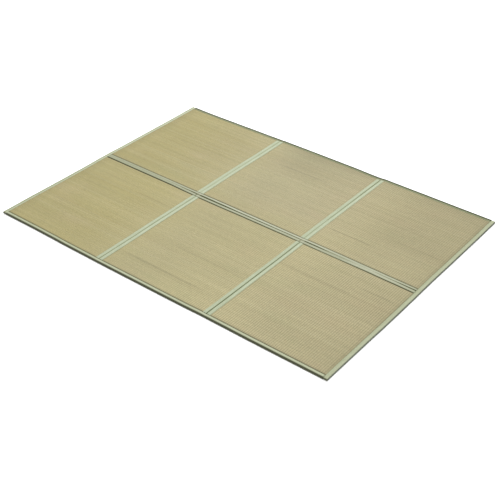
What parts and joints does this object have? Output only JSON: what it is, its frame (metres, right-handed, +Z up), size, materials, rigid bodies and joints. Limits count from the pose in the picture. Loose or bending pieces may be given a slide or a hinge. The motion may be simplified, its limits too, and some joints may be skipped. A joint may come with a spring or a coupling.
{
  "type": "folding tatami mat",
  "caption": "Flat folding floor mat of woven rush panels, edged and joined with pale green cloth tape, laid open to sit or sleep on.",
  "frame": {"origin": "middle of the mat's underside, on the surface that it lies on", "axes": "+X along the long side from the left edge to the right edge, +Y across the mat from the front edge to the back edge, +Z up out of the rush face"},
  "size_m": [2.0066, 1.4986, 0.0127],
  "materials": {
    "woven_rush": "dried rush, ribbed, matte with a faint straw sheen",
    "binding_cloth": "pale green plain-woven cotton tape, matte"
  },
  "bodies": {
    "root": {"rush_panel_front_left": "woven_rush", "rush_panel_front_middle": "woven_rush", "rush_panel_front_right": "woven_rush", "rush_panel_back_left": "woven_rush", "rush_panel_back_middle": "woven_rush", "rush_panel_back_right": "woven_rush", "binding_front": "binding_cloth", "binding_back": "binding_cloth", "binding_left": "binding_cloth", "binding_right": "binding_cloth", "centre_tape_top": "binding_cloth", "centre_tape_under": "binding_cloth", "cross_tape_1_front_top": "binding_cloth", "cross_tape_1_front_under": "binding_cloth", "cross_tape_1_back_top": "binding_cloth", "cross_tape_1_back_under": "binding_cloth", "cross_tape_2_front_top": "binding_cloth", "cross_tape_2_front_under": "binding_cloth", "cross_tape_2_back_top": "binding_cloth", "cross_tape_2_back_under": "binding_cloth"}
  },
  "joints": []
}
